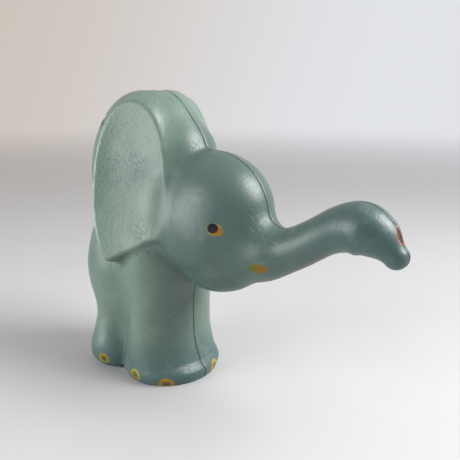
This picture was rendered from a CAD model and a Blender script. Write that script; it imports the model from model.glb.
import math
import bpy
import numpy as np
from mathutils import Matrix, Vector


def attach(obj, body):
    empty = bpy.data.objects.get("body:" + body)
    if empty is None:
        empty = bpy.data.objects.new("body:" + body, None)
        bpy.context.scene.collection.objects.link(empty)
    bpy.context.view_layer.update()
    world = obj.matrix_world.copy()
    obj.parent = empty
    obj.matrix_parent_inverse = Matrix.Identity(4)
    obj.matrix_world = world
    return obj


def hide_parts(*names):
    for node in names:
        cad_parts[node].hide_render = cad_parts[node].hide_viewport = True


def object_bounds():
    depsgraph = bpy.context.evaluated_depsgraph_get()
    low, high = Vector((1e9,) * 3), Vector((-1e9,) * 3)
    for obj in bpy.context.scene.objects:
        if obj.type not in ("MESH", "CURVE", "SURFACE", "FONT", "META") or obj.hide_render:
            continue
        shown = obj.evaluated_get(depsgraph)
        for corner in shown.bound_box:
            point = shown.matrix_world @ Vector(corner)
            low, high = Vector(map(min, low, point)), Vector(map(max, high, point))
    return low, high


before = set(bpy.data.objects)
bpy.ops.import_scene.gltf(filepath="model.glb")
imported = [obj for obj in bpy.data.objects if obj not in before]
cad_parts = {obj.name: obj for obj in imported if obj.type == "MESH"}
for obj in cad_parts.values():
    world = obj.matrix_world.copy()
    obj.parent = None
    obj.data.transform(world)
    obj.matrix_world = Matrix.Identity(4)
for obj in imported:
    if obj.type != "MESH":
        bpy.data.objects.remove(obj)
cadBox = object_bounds()
mm = 0.001

# The elephant's outside is one smooth field: a number for every point in space, below zero inside
# the moulding and near to the distance in millimetres from its skin. Lumps are blended into it one
# by one, so the creases between them are soft like a cast form's. +X trunk, +Y left, +Z up.

bodyShape = {
    "torso": dict(x=-3.4, z=91.6, semiX=25.0, semiY=23.0, semiZ=38.1),
    "shoulder": dict(x=10.5, z=93.2, semiX=22.6, semiY=17.6, semiZ=35.4),
    "neck": dict(x=21.0, z=103.5, semiX=13.2, semiY=16.0, semiZ=12.0),
    "rump": dict(x=-8.4, z=47.8, semiX=22.7, semiY=25.0, semiZ=27.9),
    "chest": dict(x=12.0, z=60.0, semiX=17.5, semiY=22.5, semiZ=22.0),
    "blend": 6.8,           # how softly the lumps run into each other
    "legBlend": 7.0,
    "nape": 3.0,            # the crease between the torso and the head
}

legShape = {
    "heights": (0.0, 4.0, 9.0, 20.0, 36.0, 56.0),
    "frontX": (13.8, 13.8, 13.0, 13.1, 13.7, 13.7),
    "frontLong": (20.2, 21.0, 18.2, 14.8, 13.6, 14.8),
    "frontWide": (23.2, 25.0, 24.6, 23.6, 23.4, 24.8),
    "hindX": (-11.2, -11.2, -11.0, -10.6, -10.2, -10.2),
    "hindLong": (15.0, 17.0, 16.6, 14.0, 11.8, 13.6),
    "hindWide": (22.0, 25.5, 26.4, 24.0, 21.6, 23.2),
    "top": 68.0,
    "topBlend": 6.0,
    "webLong": 17.0,        # the flat between the two leg blocks, set back a little
    "webWideFoot": 17.6,
    "webWideTop": 18.0,
    "webTop": 40.0,
    "groove": 2.2,
    "webBlend": 4.0,
}

headShape = {
    "skull": dict(x=38.6, z=82.2, semiX=27.6, semiY=20.8, semiZ=23.8),
    "cheek": dict(x=35.2, z=73.0, semiX=19.8, semiY=21.7, semiZ=20.8),
    "chin": dict(x=41.2, z=54.8, semiX=16.0, semiY=12.9, semiZ=9.2),
    "cheekBlend": 8.0,
    "chinBlend": 4.0,
}

trunkShape = {
    "x": (46.5, 57.2, 68.2, 78.5, 90.2, 98.4, 105.8, 112.8, 119.0),
    "z": (69.4, 66.6, 67.8, 70.9, 77.9, 82.2, 83.4, 80.8, 75.6),
    "radius": (18.2, 13.9, 11.7, 8.6, 7.9, 8.8, 9.8, 8.0, 4.6),
    "steps": 24,            # straight runs tried before the nearest point is refined
    "refine": 3,
    "blend": 8.0,
}

earShape = {
    "x": 11.2, "z": 90.0,
    "long": 16.2, "tall": 36.0,
    "power": 2.2,           # a little squarer than an ellipse
    "shear": -0.08,         # the outline leans back at the top
    "reach": 24.4,          # the face's height off the middle plane at the ear's centre
    "back": 0.345,          # the face leans in towards the front
    "top": 0.20,            # and towards the top
    "dish": 2.5,
    "draft": 0.20, "flare": 8.0, "deep": 15.0, "deepBlend": 3.0,
    "edge": 1.0,
    "hemX": 16.0, "hemZ": 64.8, "hemRise": 0.604, "hemEdge": 1.2,
    "blend": 7.0,
}

shellShape = {
    "wall": 2.4,
    "floor": 3.2,
    "hollowEnd": 92.0,      # the trunk is solid from here on
    "slotX": -18.0, "slotZ": 120.0, "slotSlope": 47.0,
    "slotLong": 31.0, "slotWide": 3.6, "slotDeep": 18.0,
    "slotEdge": 0.5,
    "holeRadius": 17.0, "holeHalfWidth": 12.0,
    "recessRadius": 18.8, "recessDeep": 1.8,
    "seamDeep": 0.28, "seamWide": 0.45,
    "gridStep": 0.80,
    "gridMargin": 2.5,
    "gridStart": 2.13,      # how far behind the object the grid begins
    "gridAbove": 3,
    "soleLayers": (-0.1, 0.12),     # the first two grid heights, one each side of the sole
    "sharpAngle": 48,
    "turnReach": 0.7,
    "slopeReach": 0.05,
    "settleRounds": 3,
    "openNear": 0.5,        # points this near an opening or the hollow's end stay where they are,
    "seamNear": 0.1, "soleNear": 0.2, "floorNear": 0.4,     # and beside these flats too
    "holeSpare": 1.0,       # how far above the floor the hole is cut
    "seamLayers": (-0.1, 0.0, 0.14, 0.32, 0.56, 0.88, 1.3, 1.9),
}


def joined(a, b, softness):
    # the lower of two fields, with the corner between them filled over the softness
    share = np.clip(0.5 + 0.5 * (b - a) / softness, 0, 1)
    return b * (1 - share) + a * share - softness * share * (1 - share)


def kept(a, b, softness):
    # the higher of two fields: what both hold, with the edge rounded over the softness
    return -joined(-a, -b, softness)


def egg(at, lump):
    # an ellipsoid: the scaled distance from its centre less one, over the slope of that distance
    semi = np.array((lump["semiX"], lump["semiY"], lump["semiZ"]))
    scaled = (at - np.array((lump["x"], 0.0, lump["z"]))) / semi
    far = np.sqrt((scaled * scaled).sum(-1))
    return far * (far - 1) / (np.sqrt(((scaled / semi) ** 2).sum(-1)) + 1e-9)


def eased(knots, values, at):
    # a cubic through the values that never overshoots them: slopes are the harmonic mean of the
    # slopes on both sides, and nothing at a high or low point or at an end
    knots = np.asarray(knots, float)
    values = np.asarray(values, float)
    step = np.diff(knots)
    slope = np.diff(values) / step
    rate = np.zeros(len(values))
    before, after = slope[:-1], slope[1:]
    same = before * after > 0
    heavy, light = 2 * step[1:] + step[:-1], step[1:] + 2 * step[:-1]
    mean = (heavy + light) / (heavy / np.where(same, before, 1) + light / np.where(same, after, 1))
    rate[1:-1] = np.where(same, mean, 0)
    at = np.clip(at, knots[0], knots[-1])
    i = np.clip(np.searchsorted(knots, at, side="right") - 1, 0, len(step) - 1)
    u = (at - knots[i]) / step[i]
    start = values[i] * (2 * u**3 - 3 * u**2 + 1) + step[i] * rate[i] * (u**3 - 2 * u**2 + u)
    return start + values[i + 1] * (3 * u**2 - 2 * u**3) + step[i] * rate[i + 1] * (u**3 - u**2)


def column(at, x, long, wide):
    # an upright bar of elliptical plan, by the same rule as the egg's in two directions
    qx, qy = (at[..., 0] - x) / long, at[..., 1] / wide
    far = np.sqrt(qx * qx + qy * qy) + 1e-9
    return far * (far - 1) / (np.sqrt((qx / long) ** 2 + (qy / wide) ** 2) + 1e-9)


def legBlock(at, block):
    # a column whose middle, length and width follow the heights of the leg
    z = at[..., 2]
    knots = legShape["heights"]
    x, long, wide = (eased(knots, legShape[block + part], z) for part in ("X", "Long", "Wide"))
    return kept(column(at, x, long, wide), z - legShape["top"], legShape["topBlend"])


def legs(at):
    # both leg blocks, with the flat between them
    shape = legShape
    z = at[..., 2]
    both = joined(legBlock(at, "front"), legBlock(at, "hind"), shape["groove"])
    rise = np.clip(z / shape["webTop"], 0, 1)
    wide = shape["webWideFoot"] + (shape["webWideTop"] - shape["webWideFoot"]) * rise
    web = kept(column(at, 0.0, shape["webLong"], wide), z - shape["webTop"], shape["topBlend"])
    return joined(both, web, shape["webBlend"])


def alongPath(values, t):
    # the natural cubic spline through the values, and its slope, at t counted in values
    values = np.asarray(values, float)
    count = len(values)
    bends = np.zeros(count)
    system = 4 * np.eye(count - 2) + np.eye(count - 2, k=1) + np.eye(count - 2, k=-1)
    bends[1:-1] = np.linalg.solve(system, 6 * np.diff(values, 2))
    i = np.clip(t.astype(int), 0, count - 2)
    b = t - i
    a = 1 - b
    curve = (a**3 - a) * bends[i] / 6 + (b**3 - b) * bends[i + 1] / 6
    bow = (3 * b**2 - 1) * bends[i + 1] / 6 - (3 * a**2 - 1) * bends[i] / 6
    return a * values[i] + b * values[i + 1] + curve, values[i + 1] - values[i] + bow


def trunk(at):
    # the distance from the nearest point of the centre line, less the radius there
    shape = trunkShape
    px, pz = at[..., 0], at[..., 2]
    last = len(shape["x"]) - 1
    knots = np.linspace(0, last, shape["steps"] + 1)
    lineX, lineZ = alongPath(shape["x"], knots)[0], alongPath(shape["z"], knots)[0]
    best = np.full(px.shape, 1e9)
    t = np.zeros(px.shape)
    for i in range(shape["steps"]):
        dx, dz = lineX[i + 1] - lineX[i], lineZ[i + 1] - lineZ[i]
        share = np.clip(((px - lineX[i]) * dx + (pz - lineZ[i]) * dz) / (dx * dx + dz * dz), 0, 1)
        far = (px - lineX[i] - share * dx) ** 2 + (pz - lineZ[i] - share * dz) ** 2
        near = far < best
        best = np.where(near, far, best)
        t = np.where(near, knots[i] + share * (knots[i + 1] - knots[i]), t)
    for _ in range(shape["refine"]):
        (cx, vx), (cz, vz) = alongPath(shape["x"], t), alongPath(shape["z"], t)
        t = np.clip(t + ((px - cx) * vx + (pz - cz) * vz) / (vx * vx + vz * vz), 0, last)
    cx, cz = alongPath(shape["x"], t)[0], alongPath(shape["z"], t)[0]
    around = np.sqrt((px - cx) ** 2 + (pz - cz) ** 2 + at[..., 1] ** 2)
    return around - eased(range(last + 1), shape["radius"], t)


def ear(at):
    # a slab under a leaning, dished face, inside an upright outline cut off by a slanting hem,
    # and wider towards the body by its draft
    shape = earShape
    x, y, z = at[..., 0], at[..., 1], at[..., 2]
    over = z - shape["z"]
    u = np.abs((x - shape["x"] - shape["shear"] * over) / shape["long"])
    w = np.abs(over / shape["tall"])
    ring = (u ** shape["power"] + w ** shape["power"]) ** (1 / shape["power"])
    hem = shape["hemZ"] + shape["hemRise"] * (x - shape["hemX"]) - z
    outline = kept((ring - 1) * shape["long"], hem / math.hypot(1, shape["hemRise"]), shape["hemEdge"])
    face = shape["reach"] - shape["back"] * (x - shape["x"]) - shape["top"] * over
    deep = face - shape["dish"] * np.clip(1 - ring * ring, 0, 1) - y
    side = (outline - shape["draft"] * np.clip(deep, 0, shape["flare"])) / math.hypot(1, shape["draft"])
    lean = 1 / math.sqrt(1 + shape["back"] ** 2 + shape["top"] ** 2)
    slab = kept(side, -deep * lean, shape["edge"])
    return kept(slab, (deep - shape["deep"]) * lean, shape["deepBlend"])


def outside(at):
    # the whole skin; both sides are the same, so the side to side place loses its sign
    at = at.copy()
    at[..., 1] = np.abs(at[..., 1])
    body = egg(at, bodyShape["torso"])
    for part in ("shoulder", "neck", "rump", "chest"):
        body = joined(body, egg(at, bodyShape[part]), bodyShape["blend"])
    body = joined(body, legs(at), bodyShape["legBlend"])
    face = joined(egg(at, headShape["skull"]), egg(at, headShape["cheek"]), headShape["cheekBlend"])
    face = joined(face, egg(at, headShape["chin"]), headShape["chinBlend"])
    face = joined(face, trunk(at), trunkShape["blend"])
    face = joined(face, ear(at), earShape["blend"])
    return joined(body, face, bodyShape["nape"])


def seam(at):
    # how far the skin sinks towards the joint of the two halves: deepest in the middle plane
    return shellShape["seamDeep"] * np.exp(-((at[..., 1] / shellShape["seamWide"]) ** 2))


def openings(at):
    # the coin slot, the flatted hole and the recess, as one field below zero where they are open
    shape = shellShape
    x, y, z = at[..., 0], at[..., 1], at[..., 2]
    slope = math.radians(shape["slotSlope"])
    along = (x - shape["slotX"]) * math.sin(slope) + (z - shape["slotZ"]) * math.cos(slope)
    through = (z - shape["slotZ"]) * math.sin(slope) - (x - shape["slotX"]) * math.cos(slope)
    slot = kept(np.abs(along) - shape["slotWide"] / 2, np.abs(y) - shape["slotLong"] / 2, shape["slotEdge"])
    slot = np.maximum(slot, np.abs(through) - shape["slotDeep"] / 2)
    around = np.hypot(x, y)
    hole = np.maximum(around - shape["holeRadius"], np.abs(y) - shape["holeHalfWidth"])
    hole = np.maximum(hole, z - shape["floor"] - shape["holeSpare"])
    recess = np.maximum(around - shape["recessRadius"], z - shape["recessDeep"])
    return np.minimum(slot, np.minimum(hole, recess))


def shellHalf(at, skin):
    # the wall between the skin and the space inside, on the right of the middle plane
    shape = shellShape
    inner = np.maximum(skin + shape["wall"], shape["floor"] - at[..., 2])
    inner = np.maximum(inner, at[..., 0] - shape["hollowEnd"])
    solid = np.maximum(np.maximum(skin + seam(at), -inner), np.maximum(-at[..., 2], at[..., 1]))
    return np.maximum(solid, -openings(at))


def surfaceNet(values, axes):
    # one point in each grid cell that the surface crosses, at the middle of its edge crossings, and
    # one four-sided face across each crossed grid edge, wound so that it looks outwards
    inside = values < 0
    mixed = np.zeros([n - 1 for n in values.shape], bool)
    corners = [(i, j, k) for i in (0, 1) for j in (0, 1) for k in (0, 1)]
    ends = [tuple(slice(c, c - 1 or None) for c in corner) for corner in corners]
    first = inside[ends[0]]
    for end in ends[1:]:
        mixed |= inside[end] != first
    cells = np.argwhere(mixed)
    number = np.full(mixed.shape, -1)
    number[mixed] = np.arange(len(cells))
    total, count = np.zeros((len(cells), 3)), np.zeros(len(cells))
    for corner in corners:
        for axis in range(3):
            if corner[axis]:
                continue
            a = cells + corner
            b = a.copy()
            b[:, axis] += 1
            va, vb = values[tuple(a.T)], values[tuple(b.T)]
            cross = (va < 0) != (vb < 0)
            share = np.where(cross, va / np.where(cross, va - vb, 1), 0)
            pa = np.stack([axes[n][a[:, n]] for n in range(3)], 1)
            pa[:, axis] += share * (axes[axis][b[:, axis]] - pa[:, axis])
            total += pa * cross[:, None]
            count += cross
    points = total / count[:, None]
    faces = []
    for axis in range(3):
        step = np.eye(3, dtype=int)
        u, v = step[(axis + 1) % 3], step[(axis + 2) % 3]
        low = np.moveaxis(inside, axis, 0)[:-1]
        high = np.moveaxis(inside, axis, 0)[1:]
        edges = np.argwhere(np.moveaxis(low != high, 0, axis))
        outward = inside[tuple(edges.T)]
        quad = np.stack([number[tuple((edges - shift).T)] for shift in (u + v, v, 0 * u, u)], 1)
        quad[~outward] = quad[~outward][:, ::-1]
        faces.append(quad)
    return points, np.concatenate(faces)


def settled(points, step):
    # points of the skin and of the inner wall slide along the slope of the field until they lie on it
    shape = shellShape
    reach, near = shape["slopeReach"], shape["openNear"]
    for _ in range(shape["settleRounds"]):
        skin = outside(points)
        slope = np.stack([outside(points + d) - outside(points - d) for d in np.eye(3) * reach], 1)
        slope /= 2 * reach
        steep = (slope * slope).sum(1) + 1e-9
        outer = skin + seam(points)
        wall = skin + shape["wall"]
        free = (points[:, 1] < -shape["seamNear"]) & (points[:, 2] > shape["soleNear"])
        free &= openings(points) > near
        inner = free & (np.abs(wall) < step) & (points[:, 2] > shape["floor"] + shape["floorNear"])
        inner &= points[:, 0] < shape["hollowEnd"] - near
        miss = np.where(free & (np.abs(outer) < step), outer, np.where(inner, wall, 0))
        points = points - slope * (np.clip(miss / steep, -step / 2, step / 2))[:, None]
    return points


def gridAxes():
    # grid lines a little outside the object, closer together beside the middle plane
    step = shellShape["gridStep"]
    low, high = np.array(cadBox[0]) / mm, np.array(cadBox[1]) / mm
    margin, layers = shellShape["gridMargin"], shellShape["seamLayers"]
    below, above = shellShape["soleLayers"]
    x = np.arange(low[0] - shellShape["gridStart"], high[0] + margin, step)
    z = np.r_[below, np.arange(above, high[2] + shellShape["gridAbove"], step)]
    y = np.r_[layers, np.arange(layers[-1] + step, high[1] + margin, step)]
    return x, -y[::-1], z


def meshPiece(name, points, faces):
    mesh = bpy.data.meshes.new(name)
    mesh.from_pydata((points * mm).tolist(), [], faces.tolist())
    mesh.update()
    mesh.polygons.foreach_set("use_smooth", np.ones(len(faces), bool))
    mesh.set_sharp_from_angle(angle=math.radians(shellShape["sharpAngle"]))
    piece = bpy.data.objects.new(name, mesh)
    bpy.context.scene.collection.objects.link(piece)
    return piece


def buildShells():
    axes = gridAxes()
    grid = np.stack(np.meshgrid(*axes, indexing="ij"), -1)
    values = np.stack([shellHalf(slab, outside(slab)) for slab in grid])
    points, faces = surfaceNet(values, axes)
    points = settled(points, shellShape["gridStep"])
    right = meshPiece("rightShellSkin", points, faces)
    left = meshPiece("leftShellSkin", points * (1, -1, 1), faces[:, ::-1])
    print("shell halves:", len(points), "points,", len(faces), "faces each")
    return right, left


rightShell, leftShell = buildShells()
for piece, node in ((rightShell, "right_shell"), (leftShell, "left_shell")):
    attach(piece, "bank")
    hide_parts(node)


def shapeNotes(piece):
    # two numbers on every point: how sharply the skin turns there (above zero on an edge, below in a
    # crease), and how deep under the skin the point lies
    points = np.empty(len(piece.data.vertices) * 3)
    piece.data.vertices.foreach_get("co", points)
    points = points.reshape(-1, 3) / mm
    reach = shellShape["turnReach"]
    skin = outside(points)
    around = sum(outside(points + d) for d in np.concatenate((np.eye(3), -np.eye(3))) * reach)
    for name, number in (("turn", (around - 6 * skin) / reach**2), ("depth", -skin)):
        note = piece.data.attributes.new(name, "FLOAT", "POINT")
        note.data.foreach_set("value", number.astype(np.float32))


for piece in (rightShell, leftShell):
    shapeNotes(piece)
print("shell notes done")


def ink(red, green, blue):
    # a colour given in screen values, as the light values that a shader takes
    share = np.array((red, green, blue)) / 255
    light = np.where(share < 0.04045, share / 12.92, ((share + 0.055) / 1.055) ** 2.4)
    return (*light.tolist(), 1.0)


class Mask:
    # one number for each place on a surface; arithmetic on it adds Math nodes

    def __init__(self, finish, socket):
        self.finish, self.socket = finish, socket

    def __add__(self, other):
        return self.finish.math("ADD", self, other)

    def __radd__(self, other):
        return self.finish.math("ADD", other, self)

    def __sub__(self, other):
        return self.finish.math("SUBTRACT", self, other)

    def __rsub__(self, other):
        return self.finish.math("SUBTRACT", other, self)

    def __mul__(self, other):
        return self.finish.math("MULTIPLY", self, other)

    def __rmul__(self, other):
        return self.finish.math("MULTIPLY", other, self)

    def over(self, low, high):
        # nothing up to the low value, all from the high one, and an ease in between
        node = self.finish.add("ShaderNodeMapRange", {"interpolation_type": "SMOOTHSTEP"},
                               {"Value": self, "From Min": low, "From Max": high})
        return Mask(self.finish, node.outputs["Result"])


class Finish:
    # a material under construction, with the place on the object in millimetres

    def __init__(self, name):
        self.material = bpy.data.materials.new(name)
        self.material.use_nodes = True
        self.tree = self.material.node_tree
        self.shader = self.tree.nodes["Principled BSDF"]
        self.place = self.vector("MULTIPLY", self.add("ShaderNodeTexCoord").outputs["Object"], (1000,) * 3)
        split = self.add("ShaderNodeSeparateXYZ", {}, {"Vector": self.place})
        self.x, self.y, self.z = (Mask(self, socket) for socket in split.outputs)

    def add(self, kind, settings=None, values=None):
        node = self.tree.nodes.new(kind)
        for name, value in (settings or {}).items():
            setattr(node, name, value)
        for name, value in (values or {}).items():
            socket = node.inputs[name]
            value = value.socket if isinstance(value, Mask) else value
            if isinstance(value, bpy.types.NodeSocket):
                self.tree.links.new(value, socket)
            else:
                socket.default_value = value
        return node

    def math(self, operation, *values):
        node = self.add("ShaderNodeMath", {"operation": operation}, dict(enumerate(values)))
        return Mask(self, node.outputs[0])

    def vector(self, operation, *values):
        node = self.add("ShaderNodeVectorMath", {"operation": operation}, dict(enumerate(values)))
        return node.outputs["Value" if operation == "LENGTH" else "Vector"]

    def mix(self, share, under, over):
        node = self.add("ShaderNodeMix", {"data_type": "RGBA"}, {0: share, 6: under, 7: over})
        return node.outputs[2]

    def cloud(self, scale, detail=3.0, stretch=(1, 1, 1), roughness=0.55):
        place = self.vector("MULTIPLY", self.place, stretch)
        node = self.add("ShaderNodeTexNoise", {}, {"Vector": place, "Scale": scale, "Detail": detail,
                                                   "Roughness": roughness})
        return Mask(self, node.outputs[0])

    def cells(self, scale, feature, stretch=(1, 1, 1)):
        place = self.vector("MULTIPLY", self.place, stretch)
        node = self.add("ShaderNodeTexVoronoi", {"feature": feature}, {"Vector": place, "Scale": scale})
        return Mask(self, node.outputs["Distance"])

    def note(self, name):
        node = self.add("ShaderNodeAttribute", {"attribute_name": name})
        return Mask(self, node.outputs["Fac"])

    def mark(self, centre, size, bothSides=False):
        # the distance from a centre, counted in the mark's own half sizes, on one side or on both
        place = self.vector("ABSOLUTE", self.place) if bothSides else self.place
        near = self.vector("SUBTRACT", place, centre)
        return Mask(self, self.vector("LENGTH", self.vector("DIVIDE", near, size)))

    def wear(self, piece):
        piece.data.materials.append(self.material)


paintMarks = {
    "eye": dict(centre=(53.1, 19.0, 78.4), size=(2.05, 3.2, 2.05)),
    "eyeOchre": dict(centre=(54.9, 18.3, 77.0), size=(2.1, 3.0, 1.9)),
    "eyeRing": dict(centre=(53.6, 18.8, 77.9), size=(2.85, 4.0, 2.6)),
    "mouth": dict(centre=(69.4, 10.5, 63.3), size=(4.3, 4.0, 2.2)),
    "nostril": dict(centre=(119.4, 0.0, 83.2), size=(2.6, 1.8, 3.4)),
    "nostrilRim": dict(centre=(119.4, 0.0, 83.2), size=(3.2, 2.4, 4.2)),
    "nails": (
        dict(centre=(27.6, -19.0, 0.8), size=(4.2, 4.2, 3.9)),
        dict(centre=(13.7, -25.2, 4.0), size=(2.9, 3.4, 3.1)),
        dict(centre=(-7.4, -25.6, 5.4), size=(2.8, 3.4, 3.0)),
        dict(centre=(33.4, 8.0, 3.0), size=(3.2, 3.4, 3.0)),
        dict(centre=(18.6, 24.6, 3.0), size=(3.2, 3.4, 3.0)),
        dict(centre=(-9.4, 25.6, 4.4), size=(2.9, 3.4, 3.0)),
    ),
}


shellInks = {
    "bodyGreen": ink(104, 124, 112),
    "headBlue": ink(74, 94, 90),
    "feetBlue": ink(62, 92, 98),
    "trunkEndBlue": ink(54, 78, 84),
    "broadShade": ink(66, 88, 80),
    "paleBloom": ink(128, 146, 136),
    "fineSpeckle": ink(52, 70, 68),
    "dirt": ink(44, 60, 54),
    "rubbedEdge": ink(150, 172, 156),
    "brokenSeam": ink(60, 76, 72),
    "crackLine": ink(64, 82, 78),
    "darkSpeck": ink(52, 66, 64),
    "eyeRing": ink(128, 118, 70),
    "eyeOchre": ink(140, 96, 10),
    "pupil": ink(30, 20, 26),
    "mouthGreen": ink(82, 94, 22),
    "mouthOchre": ink(118, 86, 8),
    "nostrilRim": ink(132, 88, 64),
    "nostril": ink(66, 38, 28),
    "nailYellow": ink(150, 142, 12),
    "nailOrange": ink(158, 108, 6),
    "nailHeart": ink(66, 88, 46),
    "rawWall": ink(176, 166, 148),
}


def shellPaint():
    f = Finish("shellPaint")
    inks = shellInks
    broad, patch, fine = f.cloud(0.035, 4), f.cloud(0.11, 4), f.cloud(0.55, 5)
    turn, depth = f.note("turn"), f.note("depth")
    # greener on the body, bluer on the head, the trunk and the feet
    feet = 1 - (f.z + patch * 14).over(12, 30)
    trunkEnd = (f.x + patch * 16).over(92, 112)
    headPart = (f.x + broad * 10).over(24, 44)
    colour = f.mix(headPart, inks["bodyGreen"], inks["headBlue"])
    colour = f.mix(feet * 0.75, colour, inks["feetBlue"])
    colour = f.mix(trunkEnd * 0.6, colour, inks["trunkEndBlue"])
    colour = f.mix(broad.over(0.38, 0.66) * 0.40, colour, inks["broadShade"])
    colour = f.mix(patch.over(0.50, 0.74) * 0.22, colour, inks["paleBloom"])
    colour = f.mix(fine.over(0.52, 0.75) * 0.16, colour, inks["fineSpeckle"])
    # dirt in the creases, pale rubbed edges, and the paint broken along the seam
    colour = f.mix((0 - turn).over(0.04, 0.45) * 0.45, colour, inks["dirt"])
    rubbed = turn.over(0.50, 1.25) * (0.25 + patch * 0.9) * (f.z + patch * 8).over(62, 82)
    colour = f.mix(rubbed, colour, inks["rubbedEdge"])
    seamLine = 1 - f.math("ABSOLUTE", f.y).over(0.25, 0.75)
    colour = f.mix(seamLine * patch.over(0.35, 0.6) * 0.75, colour, inks["brokenSeam"])
    # crackle in patches, and scattered dark specks
    net = f.cells(0.42, "DISTANCE_TO_EDGE", (1, 1, 0.8))
    crackArea = (broad + patch * 0.5).over(0.74, 0.92)
    crack = (1 - net.over(0.015, 0.05)) * crackArea
    colour = f.mix(crack * 0.42, colour, inks["crackLine"])
    specks = 1 - f.cells(0.16, "F1").over(0.06, 0.10)
    colour = f.mix(specks * patch.over(0.52, 0.56) * 0.6, colour, inks["darkSpeck"])
    # painted marks, with an unsteady brush edge
    shake = (fine - 0.5) * 0.35
    ring = f.mark(bothSides=True, **paintMarks["eyeRing"]) + shake
    colour = f.mix(1 - ring.over(0.90, 1.12), colour, inks["eyeRing"])
    ochre = f.mark(bothSides=True, **paintMarks["eyeOchre"]) + shake
    colour = f.mix(1 - ochre.over(0.85, 1.10), colour, inks["eyeOchre"])
    pupil = f.mark(bothSides=True, **paintMarks["eye"]) + shake * 0.4
    colour = f.mix(1 - pupil.over(0.92, 1.05), colour, inks["pupil"])
    mouth = f.mark(bothSides=True, **paintMarks["mouth"]) + shake
    green = f.mix((f.x + patch * 2).over(69.0, 70.8), inks["mouthGreen"], inks["mouthOchre"])
    colour = f.mix(1 - mouth.over(0.85, 1.08), colour, green)
    rim = f.mark(**paintMarks["nostrilRim"]) + shake
    colour = f.mix(1 - rim.over(0.86, 1.06), colour, inks["nostrilRim"])
    nostril = f.mark(**paintMarks["nostril"]) + shake
    colour = f.mix(1 - nostril.over(0.86, 1.06), colour, inks["nostril"])
    for nail in paintMarks["nails"]:
        far = f.mark(**nail) + shake
        lit = f.mix(patch.over(0.42, 0.62), inks["nailYellow"], inks["nailOrange"])
        heart = f.mix((far + shake).over(0.42, 0.62), inks["nailHeart"], lit)
        colour = f.mix(1 - far.over(0.88, 1.06), colour, heart)
    # the wall under the paint shows in the openings and inside
    raw = depth.over(0.25, 0.6)
    colour = f.mix(raw, colour, inks["rawWall"])
    sheen = 0.33 + fine * 0.10 + raw * 0.3 + (1 - pupil.over(0.92, 1.05)) * (0 - 0.12)
    strokes = f.cloud(1.1, 3, (1, 1, 0.28)) - 0.5
    leather = f.cloud(0.9, 2) - 0.5
    height = strokes * 0.05 + leather * 0.05 + fine * 0.10 + (0 - crack) * 0.05
    bump = f.add("ShaderNodeBump", {}, {"Height": height, "Distance": mm, "Strength": 1.0})
    f.tree.links.new(colour, f.shader.inputs["Base Color"])
    f.tree.links.new(sheen.socket, f.shader.inputs["Roughness"])
    f.tree.links.new(bump.outputs["Normal"], f.shader.inputs["Normal"])
    return f


shellFinish = shellPaint()
for piece in (rightShell, leftShell):
    shellFinish.wear(piece)
print("shell paint done")


def metal(name, colour, dull, tarnish, rough):
    # turned or pressed metal: rings from the tool, dull patches and small pits
    f = Finish(name)
    around = f.math("SQRT", f.x * f.x + f.y * f.y)
    rings = f.math("SINE", around * 11 + f.cloud(0.6, 3) * 5)
    patch = f.cloud(0.28, 5)
    base = f.mix(patch.over(0.46, 0.70) * tarnish, colour, dull)
    pits = 1 - f.cells(0.9, "F1").over(0.05, 0.16)
    base = f.mix(pits * 0.5, base, dull)
    height = rings * 0.004 + patch * 0.05 - pits * 0.03
    bump = f.add("ShaderNodeBump", {}, {"Height": height, "Distance": mm, "Strength": 1.0})
    f.shader.inputs["Metallic"].default_value = 1.0
    f.tree.links.new(base, f.shader.inputs["Base Color"])
    f.tree.links.new((patch * 0.25 + rough).socket, f.shader.inputs["Roughness"])
    f.tree.links.new(bump.outputs["Normal"], f.shader.inputs["Normal"])
    return f.material


lockFinishes = {
    "lock_cover": metal("platedCover", ink(196, 194, 188), ink(128, 122, 112), 0.7, 0.24),
    "lock_washer": metal("springSteel", ink(150, 150, 150), ink(92, 84, 76), 0.6, 0.28),
    "lock_bar": metal("dullSteel", ink(158, 158, 156), ink(96, 86, 76), 0.8, 0.34),
    "lock_spindle": metal("turnedBrass", ink(212, 178, 104), ink(128, 98, 52), 0.6, 0.22),
}
for node, finish in lockFinishes.items():
    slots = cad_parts[node].material_slots
    for slot in slots:
        slot.material = finish
print("lock finishes done")

tableShape = {"radius": 1.6, "clear": 0.16, "sides": 96}


def buildTable():
    # a flat disc: the middle point and one ring
    turn = np.arange(tableShape["sides"]) * 2 * np.pi / tableShape["sides"]
    ring = np.stack([np.cos(turn), np.sin(turn), 0 * turn], 1) * tableShape["radius"]
    index = np.arange(tableShape["sides"])
    faces = np.stack([0 * index, index + 1, (index + 1) % len(index) + 1], 1)
    mesh = bpy.data.meshes.new("tableTop")
    mesh.from_pydata([(0, 0, 0), *ring.tolist()], [], faces.tolist())
    table = bpy.data.objects.new("tableTop", mesh)
    bpy.context.scene.collection.objects.link(table)
    return table


def tablePaint():
    # pale card, whole up to the clear distance and thinning out to nothing near its edge
    f = Finish("tableCard")
    far = f.math("SQRT", f.x * f.x + f.y * f.y)
    shade = f.mix(f.cloud(0.02, 4).over(0.3, 0.7) * 0.3, ink(184, 185, 187), ink(179, 179, 181))
    f.tree.links.new(shade, f.shader.inputs["Base Color"])
    f.shader.inputs["Roughness"].default_value = 0.7
    f.shader.inputs["Specular IOR Level"].default_value = 0.2
    edge = far.over(tableShape["clear"] / mm, tableShape["radius"] / mm * 0.96)
    nothing = f.add("ShaderNodeBsdfTransparent")
    both = f.add("ShaderNodeMixShader", {}, {0: edge, 1: f.shader.outputs[0], 2: nothing.outputs[0]})
    f.tree.links.new(both.outputs[0], f.tree.nodes["Material Output"].inputs["Surface"])
    return f


tableTop = buildTable()
tablePaint().wear(tableTop)

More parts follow.
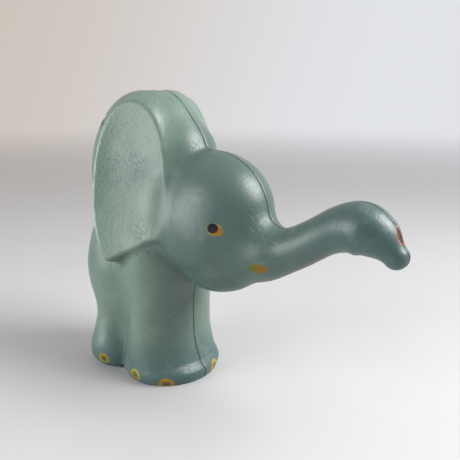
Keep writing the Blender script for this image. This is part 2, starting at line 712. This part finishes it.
viewPoint = {
    "turn": 41.0, "rise": 15.4,     # degrees round from the right side, and up
    "far": 265.3,
    "aim": (25.0, 0.0, 64.0),
    "lens": 46.24, "sensor": 36.0,
    "shiftX": 0.0878, "shiftY": 0.026,
    "clip": 0.01,
}


def fromAround(turn, rise, far, aim):
    # a place at that distance from the aim, turned from straight in front of the right side
    turn, rise = math.radians(turn), math.radians(rise)
    away = Vector((math.sin(turn) * math.cos(rise), -math.cos(turn) * math.cos(rise), math.sin(rise)))
    return Vector(aim) * mm + away * far * mm


def facing(place, aim):
    # the turn that points a lamp or the camera from its place to the aim
    return (Vector(aim) * mm - place).to_track_quat("-Z", "Y").to_euler()


lampAim = (20, 0, 60)


def areaLight(name, turn, rise, far, size, power, tint):
    # a soft round lamp; turn and rise in degrees, far in millimetres, size in metres, power in watts
    light = bpy.data.lights.new(name, "AREA")
    light.shape = "DISK"
    light.size = size
    light.energy = power
    light.color = tint
    lamp = bpy.data.objects.new(name, light)
    lamp.location = fromAround(turn, rise, far, lampAim)
    lamp.rotation_euler = facing(lamp.location, lampAim)
    bpy.context.scene.collection.objects.link(lamp)


areaLight("softKey", 116, 40, 620, 0.42, 6.2, (1, 0.99, 0.98))
areaLight("softWindow", -24, 12, 600, 0.50, 4.0, (0.97, 0.99, 1))

studioLight = {
    "left": ink(216, 206, 198),
    "right": ink(236, 238, 242),
    "behindCamera": 0.05,   # how bright the room is behind the camera, and ahead of it
    "strength": 0.90,
}


def buildWorld():
    # a room of light: warm to the left, white to the right, and darker behind the camera
    world = bpy.data.worlds.new("studio")
    world.use_nodes = True
    tree = world.node_tree
    turn = math.radians(viewPoint["turn"])
    heading = tree.nodes.new("ShaderNodeTexCoord").outputs["Generated"]

    def share(axis, low, high, start, end):
        dot = tree.nodes.new("ShaderNodeVectorMath")
        dot.operation = "DOT_PRODUCT"
        dot.inputs[1].default_value = axis
        tree.links.new(heading, dot.inputs[0])
        spread = tree.nodes.new("ShaderNodeMapRange")
        spread.interpolation_type = "SMOOTHSTEP"
        for name, value in (("From Min", low), ("From Max", high), ("To Min", start), ("To Max", end)):
            spread.inputs[name].default_value = value
        tree.links.new(dot.outputs["Value"], spread.inputs["Value"])
        return spread.outputs["Result"]

    tint = tree.nodes.new("ShaderNodeMix")
    tint.data_type = "RGBA"
    tint.inputs[6].default_value = studioLight["left"]
    tint.inputs[7].default_value = studioLight["right"]
    tree.links.new(share((math.cos(turn), math.sin(turn), -0.35), -0.35, 0.30, 0, 1), tint.inputs[0])
    tree.links.new(tint.outputs[2], tree.nodes["Background"].inputs["Color"])
    dim, full = studioLight["behindCamera"], studioLight["strength"]
    away = share((-math.sin(turn), math.cos(turn), 0.10), -0.92, 0.10, dim, full)
    tree.links.new(away, tree.nodes["Background"].inputs["Strength"])
    bpy.context.scene.world = world


buildWorld()
bpy.context.scene.view_settings.view_transform = "Standard"

lensData = bpy.data.cameras.new("camera")
lensData.lens = viewPoint["lens"]
lensData.sensor_width = viewPoint["sensor"]
lensData.shift_x, lensData.shift_y = viewPoint["shiftX"], viewPoint["shiftY"]
lensData.clip_start = viewPoint["clip"]
camera = bpy.data.objects.new("camera", lensData)
camera.location = fromAround(*(viewPoint[part] for part in ("turn", "rise", "far", "aim")))
camera.rotation_euler = facing(camera.location, viewPoint["aim"])
bpy.context.scene.collection.objects.link(camera)
bpy.context.scene.camera = camera
print("table, lights and camera done")
